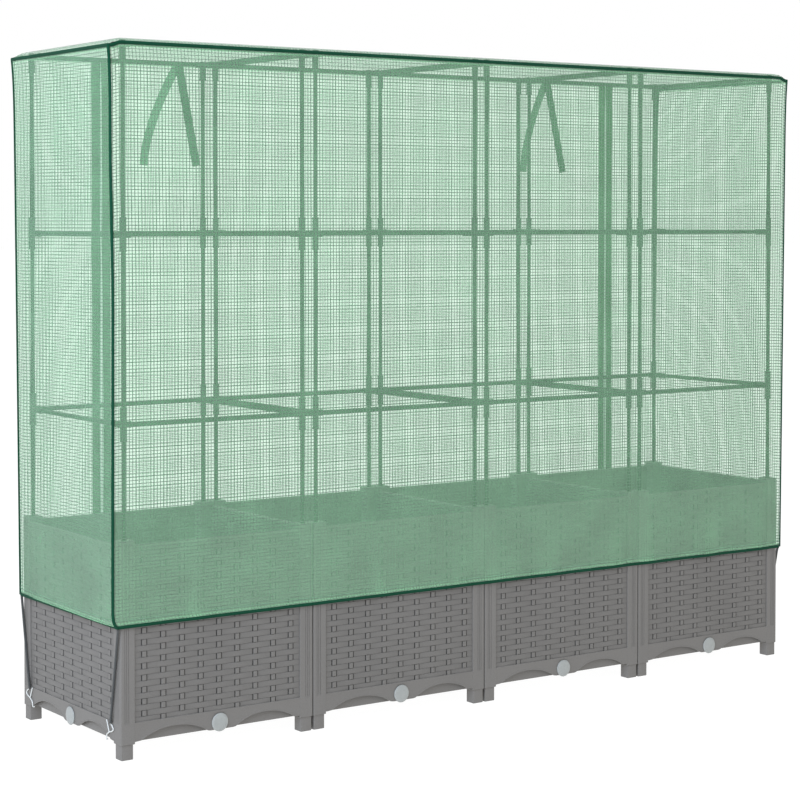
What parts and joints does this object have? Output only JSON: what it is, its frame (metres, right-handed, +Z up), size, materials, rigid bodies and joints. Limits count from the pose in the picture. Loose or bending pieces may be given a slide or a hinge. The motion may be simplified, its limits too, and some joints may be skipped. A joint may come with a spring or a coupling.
{
  "type": "covered raised planter",
  "caption": "Row of square wickerwork planters with a tube trellis under a green net cover, with a roll-up zip door behind.",
  "frame": {"origin": "on the floor, under the middle of the row of planters", "axes": "+X along the row, to the right as seen from the plain side; +Y from the plain side to the door side; +Z up"},
  "size_m": [1.6428, 0.4143, 1.2659],
  "materials": {
    "planter_plastic": "moulded grey polypropylene with an embossed wickerwork pattern and a fine grain",
    "plug_plastic": "pale grey translucent-looking soft plastic",
    "trellis_plastic": "dark grey plastic tube, satin",
    "net_film": "translucent green polyethylene film laminated over a dark thread grid of about 7 mm",
    "binding_tape": "woven dark green edging tape, sewn on",
    "zip_tape": "woven mid green polyester tape",
    "slider_plastic": "moulded green zip slider and pull",
    "elastic_cord": "braided dark elastic cord",
    "hook_wire": "bent steel wire with a white coating"
  },
  "bodies": {
    "planter_row": {"planter_shell_1": "planter_plastic", "planter_base_1": "planter_plastic", "planter_shell_2": "planter_plastic", "planter_base_2": "planter_plastic", "planter_shell_3": "planter_plastic", "planter_base_3": "planter_plastic", "planter_shell_4": "planter_plastic", "planter_base_4": "planter_plastic", "post_1_front_left": "trellis_plastic", "post_1_front_right": "trellis_plastic", "post_1_rear_left": "trellis_plastic", "post_1_rear_right": "trellis_plastic", "post_2_front_left": "trellis_plastic", "post_2_front_right": "trellis_plastic", "post_2_rear_left": "trellis_plastic", "post_2_rear_right": "trellis_plastic", "post_3_front_left": "trellis_plastic", "post_3_front_right": "trellis_plastic", "post_3_rear_left": "trellis_plastic", "post_3_rear_right": "trellis_plastic", "post_4_front_left": "trellis_plastic", "post_4_front_right": "trellis_plastic", "post_4_rear_left": "trellis_plastic", "post_4_rear_right": "trellis_plastic", "rail_grid_lower": "trellis_plastic", "rail_grid_middle": "trellis_plastic", "rail_grid_top": "trellis_plastic", "cover_front": "net_film", "cover_rear_left": "net_film", "cover_rear_right": "net_film", "cover_left_end": "net_film", "cover_right_end": "net_film", "cover_top": "net_film", "cover_binding": "binding_tape", "zip_tape_left": "zip_tape", "zip_tape_right": "zip_tape", "door_tie_left": "zip_tape", "door_tie_right": "zip_tape", "door_panel": "net_film"},
    "door": {"door_hem": "binding_tape"},
    "zip_left": {"zip_slider_left": "slider_plastic"},
    "zip_right": {"zip_slider_right": "slider_plastic"},
    "hook_cord_left_front": {"elastic_cord_left_front": "elastic_cord", "cord_hook_left_front": "hook_wire"},
    "hook_cord_left_rear": {"elastic_cord_left_rear": "elastic_cord", "cord_hook_left_rear": "hook_wire"},
    "hook_cord_right_front": {"elastic_cord_right_front": "elastic_cord", "cord_hook_right_front": "hook_wire"},
    "hook_cord_right_rear": {"elastic_cord_right_rear": "elastic_cord", "cord_hook_right_rear": "hook_wire"},
    "plug_1_front": {"drain_plug_1_front": "plug_plastic"},
    "plug_1_rear": {"drain_plug_1_rear": "plug_plastic"},
    "plug_2_front": {"drain_plug_2_front": "plug_plastic"},
    "plug_2_rear": {"drain_plug_2_rear": "plug_plastic"},
    "plug_3_front": {"drain_plug_3_front": "plug_plastic"},
    "plug_3_rear": {"drain_plug_3_rear": "plug_plastic"},
    "plug_4_front": {"drain_plug_4_front": "plug_plastic"},
    "plug_4_rear": {"drain_plug_4_rear": "plug_plastic"},
    "plug_left_end": {"drain_plug_left_end": "plug_plastic"},
    "plug_right_end": {"drain_plug_right_end": "plug_plastic"}
  },
  "joints": [
    {"name": "door_roll_up", "type": "slide", "parent": "planter_row", "child": "door", "axis": [0, 0, 1], "range_m": [0, 0.93], "deforming": ["door_panel"]},
    {"name": "zip_left_run", "type": "slide", "parent": "planter_row", "child": "zip_left", "axis": [0, 0, 1], "range_m": [0, 0.93]},
    {"name": "zip_right_run", "type": "slide", "parent": "planter_row", "child": "zip_right", "axis": [0, 0, 1], "range_m": [0, 0.93]},
    {"name": "unhook_left_front", "type": "hinge", "parent": "planter_row", "child": "hook_cord_left_front", "pos_m": [-0.80875, -0.19225, 0.237], "axis": [0, 1, 0], "range_deg": [0, 70]},
    {"name": "unhook_left_rear", "type": "hinge", "parent": "planter_row", "child": "hook_cord_left_rear", "pos_m": [-0.80875, 0.19925, 0.237], "axis": [0, 1, 0], "range_deg": [0, 70]},
    {"name": "unhook_right_front", "type": "hinge", "parent": "planter_row", "child": "hook_cord_right_front", "pos_m": [0.80875, -0.19225, 0.237], "axis": [0, -1, 0], "range_deg": [0, 70]},
    {"name": "unhook_right_rear", "type": "hinge", "parent": "planter_row", "child": "hook_cord_right_rear", "pos_m": [0.80875, 0.19925, 0.237], "axis": [0, -1, 0], "range_deg": [0, 70]},
    {"name": "pull_plug_1_front", "type": "slide", "parent": "planter_row", "child": "plug_1_front", "axis": [0, -1, 0], "range_m": [0, 0.03]},
    {"name": "pull_plug_1_rear", "type": "slide", "parent": "planter_row", "child": "plug_1_rear", "axis": [0, 1, 0], "range_m": [0, 0.03]},
    {"name": "pull_plug_2_front", "type": "slide", "parent": "planter_row", "child": "plug_2_front", "axis": [0, -1, 0], "range_m": [0, 0.03]},
    {"name": "pull_plug_2_rear", "type": "slide", "parent": "planter_row", "child": "plug_2_rear", "axis": [0, 1, 0], "range_m": [0, 0.03]},
    {"name": "pull_plug_3_front", "type": "slide", "parent": "planter_row", "child": "plug_3_front", "axis": [0, -1, 0], "range_m": [0, 0.03]},
    {"name": "pull_plug_3_rear", "type": "slide", "parent": "planter_row", "child": "plug_3_rear", "axis": [0, 1, 0], "range_m": [0, 0.03]},
    {"name": "pull_plug_4_front", "type": "slide", "parent": "planter_row", "child": "plug_4_front", "axis": [0, -1, 0], "range_m": [0, 0.03]},
    {"name": "pull_plug_4_rear", "type": "slide", "parent": "planter_row", "child": "plug_4_rear", "axis": [0, 1, 0], "range_m": [0, 0.03]},
    {"name": "pull_plug_left_end", "type": "slide", "parent": "planter_row", "child": "plug_left_end", "axis": [-1, 0, 0], "range_m": [0, 0.03]},
    {"name": "pull_plug_right_end", "type": "slide", "parent": "planter_row", "child": "plug_right_end", "axis": [1, 0, 0], "range_m": [0, 0.03]}
  ],
  "couplings": [
    {"joint": "zip_left_run", "follows": "door_roll_up", "ratio": 1},
    {"joint": "zip_right_run", "follows": "door_roll_up", "ratio": 1}
  ]
}
